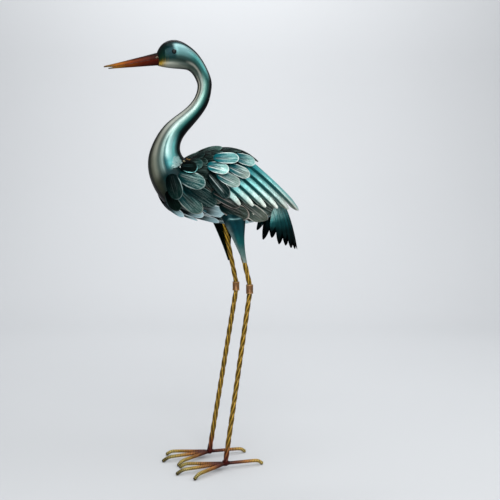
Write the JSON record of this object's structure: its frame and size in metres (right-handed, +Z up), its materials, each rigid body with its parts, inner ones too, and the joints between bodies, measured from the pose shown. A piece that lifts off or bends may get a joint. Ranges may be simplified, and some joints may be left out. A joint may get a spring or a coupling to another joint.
{
  "type": "crane garden statue",
  "caption": "Life-size standing wading bird in painted sheet steel, with an S-curved neck, layered feathers and long twisted-bar legs.",
  "frame": {"origin": "on the ground, in the middle of the statue's plan box", "axes": "the bird faces -Y, its left side is +X, +Z is up"},
  "size_m": [0.2178, 0.4642, 0.971],
  "materials": {
    "shell_paint": "glossy metallic teal, shading from near black to silver",
    "feather_paint": "glossy metallic teal with silver feather tips",
    "tail_paint": "glossy dark teal to black",
    "bill_paint": "satin, brown to orange",
    "leg_paint": "antique gold with dark grooves",
    "sleeve_paint": "antique copper",
    "eye_gloss": "glossy black bead"
  },
  "bodies": {
    "root": {"body_feathers_row_1": "feather_paint", "body_feathers_row_2": "feather_paint", "body_feathers_row_3": "feather_paint", "body_feathers_row_4": "feather_paint", "body_feathers_row_5": "feather_paint", "body_feathers_row_6": "feather_paint", "body_feathers_row_7": "feather_paint", "head_neck_and_body": "shell_paint", "left_eye": "eye_gloss", "left_foot_inner_toe": "leg_paint", "left_foot_main_toe_rod": "leg_paint", "left_foot_outer_toe": "leg_paint", "left_knee_sleeve": "sleeve_paint", "left_lower_leg": "leg_paint", "left_thigh_cover": "shell_paint", "left_upper_leg": "leg_paint", "left_wing_covert_1": "feather_paint", "left_wing_covert_2": "feather_paint", "left_wing_covert_3": "feather_paint", "left_wing_covert_4": "feather_paint", "left_wing_covert_5": "feather_paint", "left_wing_covert_6": "feather_paint", "left_wing_covert_7": "feather_paint", "left_wing_flight_feathers": "feather_paint", "lower_bill": "bill_paint", "right_eye": "eye_gloss", "right_foot_inner_toe": "leg_paint", "right_foot_main_toe_rod": "leg_paint", "right_foot_outer_toe": "leg_paint", "right_knee_sleeve": "sleeve_paint", "right_lower_leg": "leg_paint", "right_thigh_cover": "shell_paint", "right_upper_leg": "leg_paint", "right_wing_covert_1": "feather_paint", "right_wing_covert_2": "feather_paint", "right_wing_covert_3": "feather_paint", "right_wing_covert_4": "feather_paint", "right_wing_covert_5": "feather_paint", "right_wing_covert_6": "feather_paint", "right_wing_covert_7": "feather_paint", "right_wing_flight_feathers": "feather_paint", "tail_fan": "tail_paint", "upper_bill": "bill_paint"}
  },
  "joints": []
}
